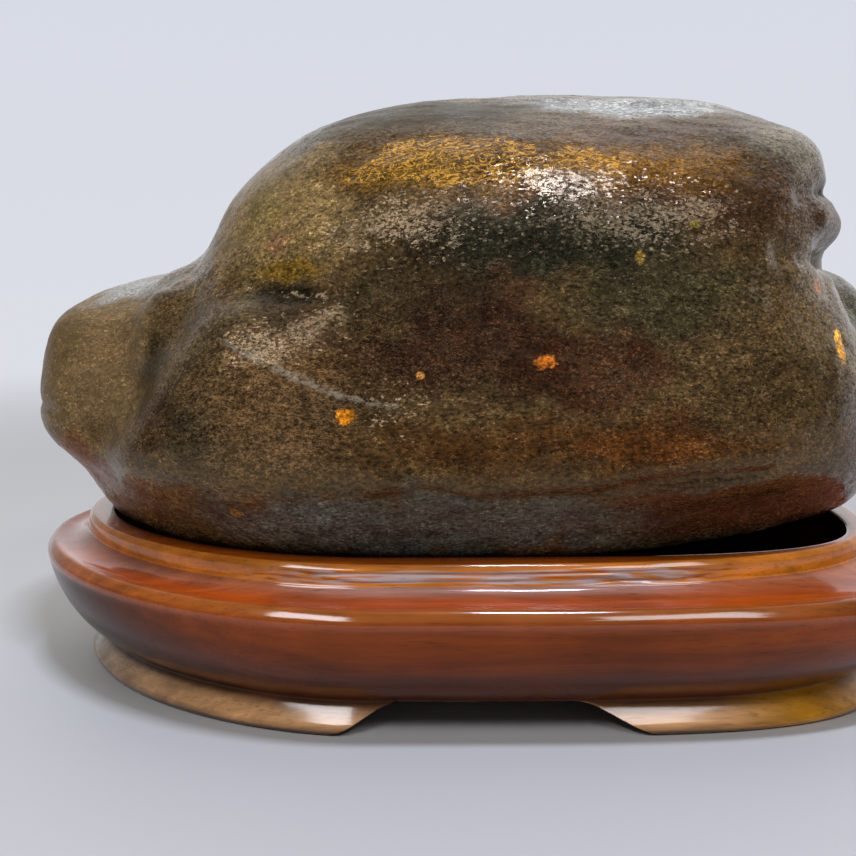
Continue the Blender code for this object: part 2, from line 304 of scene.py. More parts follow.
@dataclass(frozen=True)
class RiverStone:
    """Fine-grained river stone, wet-polished: dark and glossy, with pale flecks and crystals that sparkle."""

    name: str = "wet polished river stone"
    bedding: Point = (0.6, 1.0, 1.0)  # the patterns are drawn out along the stone's bed
    crystal: float = 0.35  # drawn a little coarse, so that single crystals show
    facet_tilt: float = 1.45
    hazed_tilt: float = 0.435  # under a full haze
    uneven: Pattern = Pattern(1.05, 4.0, 0.65)
    relief: float = 0.11
    relief_strength: float = 0.8
    smear: Pattern = Pattern(9.0, 5.0)
    wear: Span = (-0.07, 0.08)  # what the smears take from the roughness, or add to it
    roughness: float = 0.18
    hazed_roughness: float = 0.48
    ior: float = 1.5
    wet_tint: str = "#ffdcb0"  # the iron in the surface warms what it reflects, except at a glance
    shade_span: Span = (0.32, 0.68)
    mottle: tuple[Pattern, Span] = (Pattern(9.0, 6.0, 0.62), (0.7, 1.35))
    veining: tuple[Pattern, Span] = (Pattern(2.4, 4.0, 0.62), (0.62, 1.45))
    grain: tuple[Pattern, Span] = (Pattern(0.55, 2.0, 0.62), (0.3, 1.75))
    haze_calm: float = 0.55  # how much of that shading a full haze hides
    fleck: Pattern = Pattern(0.35, 1.0, distortion=1.2)
    bunch: Pattern = Pattern(1.9, 3.0, 0.7)
    bunch_pull: float = 0.4
    mark_pull: float = 0.2
    fleck_edge: Span = (0.86, 0.93)
    fleck_cover: float = 0.85
    fleck_gain: float = 2.5  # how much paler a fleck is than the stone round it
    fleck_colour: str = "#392e22"
    curl: Pattern = Pattern(1.5, 2.0, distortion=1.3)
    thread_edge: Span = (0.045, 0.012)  # how far from the noise's middle it ends, and where it is full
    thread_marks: Span = (0.92, 0.98)
    thread_cover: float = 0.9
    thread_colour: str = "#eaa838"
    crust_edge: Span = (0.25, 1.2)
    crust_cover: float = 0.7
    crust_colour: str = "#9c8f78"
    ragged: Pattern = Pattern(1 / 0.9, 3.0, 0.7)
    speck_tear: float = 1.6
    speck_edge: Span = (1.9, 1.6)
    speck_cover: float = 0.92
    spots: tuple[Spot, ...] = (
        Spot((12.3, -48.2, 71.9), (1.9, 3, 1.3), "#b8641a"),
        Spot((-23.4, -48.2, 62.1), (1.9, 3, 1.4), "#d07c10"),
        Spot((69.8, -37, 73.7), (1.3, 4, 3.6), "#ea9c12"),
        Spot((66.4, -33.2, 84.7), (1.2, 2.5, 1.8), "#a0582a"),
        Spot((39.4, -42.3, 95.9), (1, 2.5, 0.7), "#83701f"),
        Spot((29, -45.6, 90), (0.9, 2.5, 1.3), "#86682a"),
        Spot((-9.9, -46.6, 69.3), (0.9, 2, 0.7), "#a06a30"),
        Spot((-44.9, -43.9, 43), (1.5, 3, 1.1), "#7a5a2c"),
    )

    def material(self) -> Material:
        """Build the stone's material."""
        made, tree, output, place = begin_material(self.name)
        flow = stretched(tree, place, self.bedding)
        marks = add_node(tree, "Attribute", attribute_name="marks")
        parts = add_node(tree, "SeparateColor", {"Color": marks.outputs["Color"]})
        hazed = parts.outputs["Blue"]
        rough = remap(tree, hazed, (0.0, 1.0), (self.roughness, self.hazed_roughness))
        wear = remap(tree, noise_level(tree, place, self.smear), NOISE_SPAN, self.wear)
        # Most crystals lie nearly flat, and a few are tilted enough to throw the light back on their own.
        crystals = add_node(tree, "TexVoronoi", {"Vector": flow, "Scale": 1 / (self.crystal * MM)})
        tilt = remap(tree, hazed, (0.0, 1.0), (self.facet_tilt, self.hazed_tilt))
        tilt = work_out(tree, "MULTIPLY", tilt, marks.outputs["Alpha"])
        lean = combine(tree, "SUBTRACT", crystals.outputs["Color"], (0.5, 0.5, 0.5))
        cube = combine(tree, "MULTIPLY", combine(tree, "MULTIPLY", lean, lean), lean)
        facing = add_node(tree, "NewGeometry").outputs["Normal"]
        facing = combine(tree, "ADD", facing, combine(tree, "SCALE", cube, scale=tilt))
        facing = combine(tree, "NORMALIZE", facing)
        relief = {"Normal": facing, "Strength": self.relief_strength, "Distance": self.relief * MM}
        relief["Height"] = noise_level(tree, flow, self.uneven)
        inputs = {
            "Base Color": self.colour(tree, place, flow, parts),
            "Roughness": work_out(tree, "ADD", rough, wear),
            "Normal": add_node(tree, "Bump", relief).outputs["Normal"],
            "IOR": self.ior,
            "Specular Tint": linear(self.wet_tint),
        }
        add_surface(tree, output, inputs)
        return made

    def colour(self, tree: NodeTree, place: NodeSocket, flow: NodeSocket, parts: Node) -> NodeSocket:
        """Lay the stone's colours: its stains, specks, shading, flecks, threads and crust.

        Args:
            tree: The material's tree.
            place: The socket with the place on the stone.
            flow: The same, drawn out along the stone's bed.
            parts: The node with the marks: flecks, crust and haze.

        Returns:
            The socket with the colour.
        """
        flecked, crusted, hazed = (parts.outputs[name] for name in ("Red", "Green", "Blue"))
        ground = add_node(tree, "Attribute", attribute_name="stain").outputs["Color"]
        ragged = noise_level(tree, place, self.ragged)
        for spot in self.spots:
            ground = self.speck(tree, place, ragged, ground, spot)
        mottle, veining, grain = (
            remap(tree, noise_level(tree, flow, pattern), self.shade_span, levels)
            for pattern, levels in (self.mottle, self.veining, self.grain)
        )
        shade = work_out(tree, "MULTIPLY", work_out(tree, "MULTIPLY", mottle, veining), grain)
        shade = remap(tree, work_out(tree, "MULTIPLY", hazed, self.haze_calm), (0.0, 1.0), (shade, 1.0))
        colour = combine(tree, "SCALE", ground, scale=shade)
        # Pale flecks crowd where their mark is strong, and lie further apart elsewhere.
        bunch, fine = noise_level(tree, flow, self.bunch), noise_level(tree, flow, self.fleck)
        level = work_out(tree, "MULTIPLY_ADD", bunch, self.bunch_pull, fine)
        level = work_out(tree, "MULTIPLY_ADD", flecked, self.mark_pull, level)
        fleck = combine(tree, "MULTIPLY_ADD", colour, (self.fleck_gain,) * 3, linear(self.fleck_colour)[:3])
        # Thin curling threads of bright limonite run where that mark is at its strongest; their brightness is partly
        # a painted highlight, the glitter of wet facets.
        curl = work_out(tree, "SUBTRACT", noise_level(tree, flow, self.curl), 0.5)
        curl = remap(tree, work_out(tree, "ABSOLUTE", curl), self.thread_edge, (0.0, self.thread_cover))
        rich = remap(tree, flecked, self.thread_marks, (0.0, 1.0))
        rich = work_out(tree, "MULTIPLY", rich, grain, use_clamp=True)
        # The crust keeps to the lighter grains.
        crust = work_out(tree, "MULTIPLY", crusted, shade)
        layers = (
            (remap(tree, level, self.fleck_edge, (0.0, self.fleck_cover)), fleck),
            (work_out(tree, "MULTIPLY", curl, rich), linear(self.thread_colour)),
            (remap(tree, crust, self.crust_edge, (0.0, self.crust_cover)), linear(self.crust_colour)),
        )
        for mask, tone in layers:
            colour = blend(tree, mask, colour, tone)
        return colour

    def speck(
        self, tree: NodeTree, place: NodeSocket, ragged: NodeSocket, colour: NodeSocket, spot: Spot
    ) -> NodeSocket:
        """Lay one speck over the colour so far.

        Args:
            tree: The material's tree.
            place: The socket with the place on the stone.
            ragged: The socket with the noise that tears its edge.
            colour: The socket with the colour under it.
            spot: The speck.

        Returns:
            The socket with both.
        """
        shift = combine(tree, "SUBTRACT", place, tuple(v * MM for v in spot.middle))
        sized = combine(tree, "DIVIDE", shift, tuple(v * MM for v in spot.reach))
        torn = work_out(tree, "MULTIPLY_ADD", ragged, self.speck_tear, combine(tree, "LENGTH", sized))
        mask = remap(tree, torn, self.speck_edge, (0.0, self.speck_cover))
        return blend(tree, mask, colour, linear(spot.colour))


@dataclass(frozen=True)
class LacqueredHardwood:
    """Dark red-brown hardwood under a satin lacquer: long fine grain, and a soft clear gloss."""

    name: str = "lacquered hardwood"
    length: float = 16.0  # how many times longer than wide the grain is
    grain: Pattern = Pattern(2.6, 5.0, 0.6, 0.4)
    grain_shade: Span = (0.7, 1.3)
    cloud: Pattern = Pattern(1000 / 55, 3.0)
    cloud_shade: Span = (0.82, 1.2)
    pore: Pattern = Pattern(0.35, 2.0)
    pore_edge: Span = (0.58, 0.72)
    pore_shade: Span = (1.0, 0.66)
    relief: float = 0.12
    relief_strength: float = 0.35
    roughness: Span = (0.15, 0.28)
    coat_roughness: float = 0.09
    specular: float = 0.14
    ior: float = 1.5
    depth_tint: str = "#ffdcc0"  # an amber lacquer warms what it reflects, except at a glance

    def material(self) -> Material:
        """Build the wood's material."""
        made, tree, output, place = begin_material(self.name)
        tint = add_node(tree, "Attribute", attribute_name="tint")
        along = stretched(tree, place, (1 / self.length, 1.0, 1.0))
        bands = noise_level(tree, along, self.grain)
        cloud = noise_level(tree, place, self.cloud)
        pores = remap(tree, noise_level(tree, along, self.pore), self.pore_edge, self.pore_shade)
        light = remap(tree, bands, NOISE_SPAN, self.grain_shade)
        wash = remap(tree, cloud, NOISE_SPAN, self.cloud_shade)
        shade = work_out(tree, "MULTIPLY", work_out(tree, "MULTIPLY", light, wash), pores)
        relief = {"Height": bands, "Strength": self.relief_strength, "Distance": self.relief * MM}
        inputs = {
            "Base Color": combine(tree, "SCALE", tint.outputs["Color"], scale=shade),
            "Roughness": remap(tree, cloud, NOISE_SPAN, self.roughness),
            "Normal": add_node(tree, "Bump", relief).outputs["Normal"],
            "IOR": self.ior,
            "Specular IOR Level": self.specular,
            "Specular Tint": linear(self.depth_tint),
            "Coat Weight": tint.outputs["Alpha"],
            "Coat Roughness": self.coat_roughness,
            "Coat IOR": self.ior,
        }
        add_surface(tree, output, inputs)
        return made


@dataclass(frozen=True)
class BareHardwood:
    """The seat's bare wood, left rough from the gouge and without a shine; its near-black colour is painted shade
    under the rock.
    """

    name: str = "bare hardwood in painted shade"
    grain: Point = (0.2, 1.0, 1.0)
    tool_marks: Pattern = Pattern(2.2, 4.0)
    relief: float = 0.3
    relief_strength: float = 0.6
    roughness: float = 0.85
    dark: str = "#120a07"
    pale: str = "#24140c"

    def material(self) -> Material:
        """Build the wood's material."""
        made, tree, output, place = begin_material(self.name)
        marks = noise_level(tree, stretched(tree, place, self.grain), self.tool_marks)
        relief = {"Height": marks, "Strength": self.relief_strength, "Distance": self.relief * MM}
        inputs = {
            "Base Color": blend(tree, marks, linear(self.dark), linear(self.pale)),
            "Roughness": self.roughness,
            "Normal": add_node(tree, "Bump", relief).outputs["Normal"],
            "Specular IOR Level": 0.0,
        }
        add_surface(tree, output, inputs)
        return made


# --- The rock ---
VEIN: tuple[Point, ...] = (
    (-47.5, -43.0, 77.0),
    (-44.5, -44.0, 74.5),
    (-33.2, -47.3, 69.4),
    (-23.5, -47.2, 65.2),
    (-14.0, -47.5, 63.6),
)


@dataclass(frozen=True)
class Stroke:
    """A worn line in the stone. A negative depth stands proud."""

    path: tuple[Point, ...]
    radius: float
    depth: float


@dataclass(frozen=True)
class Cloud:
    """A broad field of one colour that fades in with a noise's level."""

    colour: str
    size: float
    seed: float
    edge: Span


@dataclass(frozen=True)
class Patch:
    """A soft-edged stain of one colour."""

    middle: Point
    reach: Point
    colour: str
    strength: float


@dataclass(frozen=True)
class Mark:
    """Where flecks, crust, haze or a smooth polish are strong."""

    middle: Point
    reach: Point
    flecks: float = 0.0
    crust: float = 0.0
    haze: float = 0.0
    polish: float = 0.0


@dataclass
class Rock:
    """The river stone: a flat-topped dome, a low lobe at its left end and a nose over a cleft at its right."""

    subdivisions: int = 2
    cell: float = 0.78
    wear: float = 0.5
    wear_rounds: int = 6
    swells: tuple[Swell, ...] = (
        Swell(0.22, 7.0, (1.6, 1.0, 1.0)),
        Swell(0.11, 2.6, (1.5, 1.0, 1.0), 5.0),
        Swell(0.06, 1.3, seed=9.0),
    )
    pits: Swell = Swell(1.0, 3.4, seed=13.0)
    pit_edge: Span = (0.42, 0.75)
    pit_depth: float = 0.25
    top_swell: Swell = Swell(0.22, 2.2, (7.0, 1.0, 1.0), 3.0)
    top_edge: Span = (112.0, 119.0)
    stroke_wobble: Swell = Swell(0.5, 3.0, seed=21.0)
    foot_edge: Span = (29.5, 34.0)  # the foot stays as it is packed, so that it fits its seat
    strokes: tuple[Stroke, ...] = (
        # The cleft under the nose, and its sharp bottom.
        Stroke(
            ((56.3, -39.2, 90.2), (61.1, -34.5, 89.6), (64.2, -31.8, 89.4), (67.7, -26.8, 89.5), (84, -6, 90.2)),
            2.4,
            0.8,
        ),
        Stroke(
            ((61.1, -34.5, 89.6), (64.2, -31.8, 89.3), (67.7, -26.8, 89.5), (75, -18, 89.8), (84, -6, 90.2)),
            1.1,
            1.9,
        ),
        # The creases over the nose.
        Stroke(((62.2, -32, 101.6), (66.9, -27.5, 102.6), (71, -22, 103)), 1.8, 0.7),
        Stroke(((69.3, -25.3, 102.9), (74.5, -16, 103.6), (79.5, -5, 104.6), (82, 4, 105)), 1.6, 1.5),
        # The nose, and the ledge under the cleft.
        Stroke(((68.5, -27.5, 96.5), (74.8, -19.4, 96), (80.5, -6, 96.4)), 4, -1.1),
        Stroke(((58, -37, 87.4), (64, -32.4, 86.4), (72, -24, 85.6)), 1.5, -0.6),
        # The lobe's shoulder, and the filled valley behind it.
        Stroke(((-86, -14, 77), (-76, -20, 80), (-66, -22, 81)), 8, -2.2),
        Stroke(((-62, -22, 80), (-65, -26.2, 70.9), (-63.4, -29.6, 66.5), (-69.4, -28.9, 58.6)), 6, -1.7),
        # The crease under the dome's left bulge.
        Stroke(((-41, -35.6, 84), (-34, -38.2, 83.4), (-27, -41.2, 84.4)), 2.7, 0.9),
        # The vein.
        Stroke(VEIN, 0.8, -0.15),
        # The lip over the undercut, with its steps.
        Stroke(
            (
                (-18, -50, 46.6), (-8.1, -52, 48.9), (0, -50, 45.8), (15.5, -49.5, 46.4),
                (22.6, -50, 47), (29.5, -50.8, 49.8), (40.3, -50.2, 50.8), (54, -48.2, 51.6),
            ),
            1.1,
            0.9,
        ),
        Stroke(
            (
                (-18, -51, 49.6), (-8.1, -52, 52), (0, -51, 49), (15.5, -50.5, 49.6),
                (22.6, -50.8, 50.4), (29.5, -51.2, 53), (40.3, -50.6, 54), (54, -48.6, 54.6),
            ),
            1.8,
            -0.45,
        ),
        Stroke(((20, -50, 46.4), (27, -49.5, 44.6), (33, -49.5, 45.6)), 0.8, 0.7),
        Stroke(((26, -50, 48.2), (34, -50, 47.4), (42, -49.5, 48.6)), 0.7, 0.6),
        # The seams on the lobe's end.
        Stroke(((-96, -8, 59.6), (-92, -16, 58.8), (-88, -22, 59.2)), 1.2, 0.7),
        Stroke(((-79, -24, 60.8), (-74, -26, 60.2)), 1, 0.5),
        # The hollow on top, and the crest along it.
        Stroke(((30, -14, 122), (52, -10, 122.5)), 2.6, 0.6),
        Stroke(((-14, -14, 123), (20, -8, 125.5), (46, -6, 125)), 13, -1),
        # The gully between the dome and the lobe.
        Stroke(((-52, -24, 85), (-56, -16, 86), (-56, -6, 87)), 2.4, 0.9),
    )
    base: str = "#503e27"
    clouds: tuple[Cloud, ...] = (
        Cloud("#381c12", 30.0, 91.0, (0.05, 0.5)),
        Cloud("#2d2b1f", 24.0, 97.0, (0.05, 0.45)),
    )
    cloud_strength: float = 0.7
    warmth: Point = (0.96, 0.93, 0.78)  # iron in the stone holds the blue back
    drifts: tuple[tuple[float, float, Point], ...] = (  # reach, size and a seed for each axis
        (5.0, 9.0, (31.0, 47.0, 59.0)),
        (2.2, 3.0, (67.0, 71.0, 83.0)),
    )
    drift_reach: float = 9.0  # a patch smaller than this wanders less
    patch_edge: Span = (0.55, 1.2)
    patches: tuple[Patch, ...] = (
        Patch((-78, 0, 68), (26, 44, 26), "#735c3e", 0.88),
        Patch((-36, -28, 98), (17, 20, 17), "#7d6540", 0.9),
        Patch((-41, -24, 100), (4.5, 9, 13), "#6a5c2c", 0.5),
        Patch((-34.5, -37, 87.8), (8, 6, 2.4), "#75581c", 0.85),
        Patch((-37, -33, 93), (3, 5, 2.4), "#8c6248", 0.6),
        Patch((2, -36, 108.5), (44, 13, 8), "#4a300c", 0.95),
        Patch((34, -36, 107), (24, 13, 7), "#5c3b08", 0.9),
        Patch((-14, -34, 106), (12, 10, 5), "#573d08", 0.7),
        Patch((14, -44, 93), (30, 12, 8.5), "#1f2018", 0.95),
        Patch((34, -46, 84), (20, 10, 7), "#353120", 0.75),
        Patch((-12, -46, 84), (18, 10, 6), "#2c2618", 0.7),
        Patch((-4, -47, 74), (26, 10, 9.5), "#2a150d", 0.9),
        Patch((22, -48, 70), (18, 10, 7), "#35190e", 0.8),
        Patch((-34, -46, 64), (20, 12, 15), "#49341f", 0.8),
        Patch((18, -50, 57), (44, 12, 7), "#492c12", 0.85),
        Patch((31, -50, 57), (13, 8, 3), "#5a3011", 0.7),
        Patch((56, -44, 68), (18, 14, 12), "#483720", 0.7),
        Patch((69, -36, 76), (10, 12, 9), "#5a4528", 0.7),
        # Painted shade: dark patches in the crease under the dome's left bulge and in the valley beside the lobe.
        Patch((-34.5, -37.8, 83.2), (8.5, 6, 2.5), "#17150c", 0.92),
        Patch((-62, -31, 66), (6, 9, 11), "#241d0c", 0.85),
        Patch((-80, -18, 47), (14, 16, 7), "#6a3212", 0.85),
        # A painted reflection of the wall behind: a pale grey patch over the top's right; the next patch darkens the
        # top's left.
        Patch((34, -14, 121.5), (26, 13, 4), "#b0b4ba", 0.7),
        Patch((-8, -18, 119.5), (24, 12, 5), "#2c2a20", 0.8),
        Patch((66, -24, 112), (12, 14, 8), "#5c574a", 0.75),
        # A painted reflection: a pale grey patch along the lobe's top.
        Patch((-76, -8, 86), (18, 14, 5), "#a8abb0", 0.65),
        Patch((-96, -8, 55), (6, 12, 5), "#7c7c74", 0.6),
        Patch((86, 8, 74), (15, 24, 15), "#2f3526", 0.85),
        # A painted reflection: the grey on the stone below the lip.
        Patch((-10, -46, 41), (48, 20, 8), "#454c4a", 0.95),
        Patch((54, -42, 42), (30, 20, 8), "#2c1c12", 0.85),
    )
    shaded_depth: float = 1.0  # strokes at least this deep get painted shade along their line
    stroke_shade: float = 0.7
    mark_edge: Span = (0.5, 1.15)
    stray_flecks: tuple[float, Swell] = (0.25, Swell(0.2, 14.0, seed=101.0))
    crust_streaks: tuple[float, Swell] = (0.75, Swell(0.9, 1.5, (1.0, 1.0, 5.0), 111.0))
    vein_radius: float = 0.75
    vein_level: tuple[float, Swell] = (0.9, Swell(0.6, 2.0, seed=7.0))
    vein_flecks: tuple[float, float] = (1.4, 0.87)  # their gain, and the most there can be
    vein_crust: float = 1.1
    marks: tuple[Mark, ...] = (
        Mark((-38, -46, 64), (22, 14, 17), flecks=0.9),
        Mark((4, -36, 107.5), (48, 13, 8.5), flecks=1),
        Mark((-12, -47, 74), (26, 12, 14), flecks=0.55),
        Mark((14, -44, 92), (28, 14, 12), flecks=0.4),
        Mark((40, -46, 72), (34, 16, 22), flecks=0.45),
        Mark((12.5, -40.2, 104.2), (12, 5, 2), polish=0.45),
        Mark((38, -16, 120.5), (22, 12, 3.6), crust=0.1, polish=0.6),
        Mark((64, -33, 86), (6, 7, 9), crust=0.55),
        Mark((64, -32, 86.5), (8, 7, 4), crust=0.7),
        Mark((78, -20, 80), (11, 12, 5), crust=0.6),
        Mark((50, -40, 86), (7, 7, 9), crust=0.4),
        Mark((80, -14, 98), (13, 18, 18), haze=0.6),
        Mark((-78, 0, 68), (27, 44, 28), haze=0.9),
        Mark((-42, -20, 100), (14, 20, 18), haze=0.45),
        Mark((-10, -20, 119.5), (30, 16, 7), haze=0.55),
    )
    finish: RiverStone = field(default_factory=RiverStone)

    def build(self, node: Object) -> Object:
        """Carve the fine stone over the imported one.

        Args:
            node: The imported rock.

        Returns:
            The finished piece.
        """
        mesh = self.even_mesh(node)
        low, high = (np.array(corner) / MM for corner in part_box("rock"))
        points = np.array([v.co for v in mesh.vertices]) / MM
        normals = np.array([v.normal for v in mesh.vertices])
        points = np.clip(points + normals * self.relief(points)[:, None], low, high)
        mesh.vertices.foreach_set("co", (points * MM).astype(np.float32).ravel())
        mesh.update()
        mesh.shade_smooth()
        wander = sum(
            reach * np.stack([noise_at(points, size, seed=seed) for seed in seeds], axis=1)
            for reach, size, seeds in self.drifts
        )
        add_colours(mesh, "stain", self.stains(points, wander))
        add_colours(mesh, "marks", self.mark_levels(points, wander))
        piece = join_scene("rock_surface", mesh, self.finish.material())
        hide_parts("rock")
        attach(piece, "root")
        LOG.info("rock_surface: %d vertices", len(mesh.vertices))
        return piece

    def even_mesh(self, node: Object) -> Mesh:
        """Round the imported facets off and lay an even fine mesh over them.

        Args:
            node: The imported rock.

        Returns:
            A new mesh.
        """
        bm = bmesh.new()
        bm.from_mesh(node.data)
        bmesh.ops.remove_doubles(bm, verts=bm.verts, dist=WELD)
        mesh = bpy.data.meshes.new("rock_rough")
        bm.to_mesh(mesh)
        bm.free()
        rough = bpy.data.objects.new("rock_rough", mesh)
        bpy.context.scene.collection.objects.link(rough)
        rounded = rough.modifiers.new("rounded", "SUBSURF")
        rounded.levels = rounded.render_levels = self.subdivisions
        even = rough.modifiers.new("even", "REMESH")
        even.mode = "VOXEL"
        even.voxel_size = self.cell * MM
        reworked = rough.modifiers.new("reworked", "SMOOTH")
        reworked.factor = self.wear
        reworked.iterations = self.wear_rounds
        seen = rough.evaluated_get(bpy.context.evaluated_depsgraph_get())
        fine = bpy.data.meshes.new_from_object(seen)
        fine.name = "rock_surface"
        bpy.data.objects.remove(rough)
        bpy.data.meshes.remove(mesh)
        return fine

    def relief(self, points: Array) -> Array:
        """How far each point of the surface stands out, in millimetres.

        Args:
            points: The points of the surface.

        Returns:
            The height at each.
        """
        height = sum(swell.at(points) for swell in self.swells)
        height -= self.pit_depth * smooth_step(self.pit_edge, self.pits.at(points))
        height += smooth_step(self.top_edge, points[:, 2]) * self.top_swell.at(points)
        wobbled = points + self.stroke_wobble.at(points)[:, None]
        for stroke in self.strokes:
            away = path_distance(wobbled, stroke.path)
            height -= stroke.depth * np.exp(-((away / stroke.radius) ** 2))
        return height * smooth_step(self.foot_edge, points[:, 2])

    def within(self, points: Array, wander: Array, area: Patch | Mark, edge: Span) -> Array:
        """How far each point lies within a patch or a mark.

        Args:
            points: The points, in millimetres.
            wander: The shift of the edge at each.
            area: The patch or mark.
            edge: Where its edge starts and ends, as a share of its reach.

        Returns:
            One inside it, nought outside and between them along its edge.
        """
        moved = points + wander * min(1.0, min(area.reach) / self.drift_reach)
        return 1 - smooth_step(edge, np.linalg.norm((moved - area.middle) / area.reach, axis=1))

    def stains(self, points: Array, wander: Array) -> Array:
        """The stone's colour at each point, with its painted shade and painted reflections, before its shading and
        flecks.

        Args:
            points: The points, in millimetres.
            wander: The shift of the patches' edges at each.

        Returns:
            A row of linear red, green, blue and an alpha of one for each.
        """
        stain = np.tile(linear(self.base)[:3], (len(points), 1))
        for cloud in self.clouds:
            level = smooth_step(cloud.edge, noise_at(points, cloud.size, seed=cloud.seed))
            stain = drawn_toward(stain, cloud.colour, self.cloud_strength * level)
        for patch in self.patches:
            share = patch.strength * self.within(points, wander, patch, self.patch_edge)
            stain = drawn_toward(stain, patch.colour, share)
        # Painted shade: the stain is darkened along the line of the deepest strokes.
        for stroke in self.strokes:
            if stroke.depth >= self.shaded_depth:
                shaded = np.exp(-((path_distance(points, stroke.path) / stroke.radius) ** 2))
                stain *= 1 - self.stroke_shade * shaded[:, None]
        return np.column_stack((stain * self.warmth, np.ones(len(points))))

    def mark_levels(self, points: Array, wander: Array) -> Array:
        """How strong the flecks, crust and haze are at each point, and how rough its crystals are left.

        Args:
            points: The points, in millimetres.
            wander: The shift of the marks' edges at each.

        Returns:
            A row of the four levels for each.
        """
        levels = np.zeros((len(points), 4))
        flecks, crust, _, polish = levels.T  # views, so that what is done to them lands in the rows
        flecks[:] = self.stray_flecks[0] + self.stray_flecks[1].at(points)
        for mark in self.marks:
            share = self.within(points, wander, mark, self.mark_edge)
            for column, value in zip(levels.T, (mark.flecks, mark.crust, mark.haze, mark.polish)):
                np.maximum(column, value * share, out=column)
        crust *= self.crust_streaks[0] + self.crust_streaks[1].at(points)
        vein = np.exp(-((path_distance(points, VEIN) / self.vein_radius) ** 2))
        vein *= self.vein_level[0] + self.vein_level[1].at(points)
        gain, most = self.vein_flecks
        np.maximum(flecks, np.minimum(gain * vein, most), out=flecks)
        np.maximum(crust, self.vein_crust * vein, out=crust)
        polish[:] = 1 - polish
        return levels


# --- The stand ---
@dataclass(frozen=True)
class Station:
    """One place on the stand's section: inset from the widest edge, height, bow and steps on the way to it.

    The fullness is how square the right end of the outline is there.
    """

    inset: float
    height: float
    swell: float
    steps: int
    fullness: float
    tint: str

    def row(self) -> Array:
        """Its inset, height, fullness and the tint's red, green and blue."""
        return np.array([self.inset, self.height, self.fullness, *linear(self.tint)[:3]])


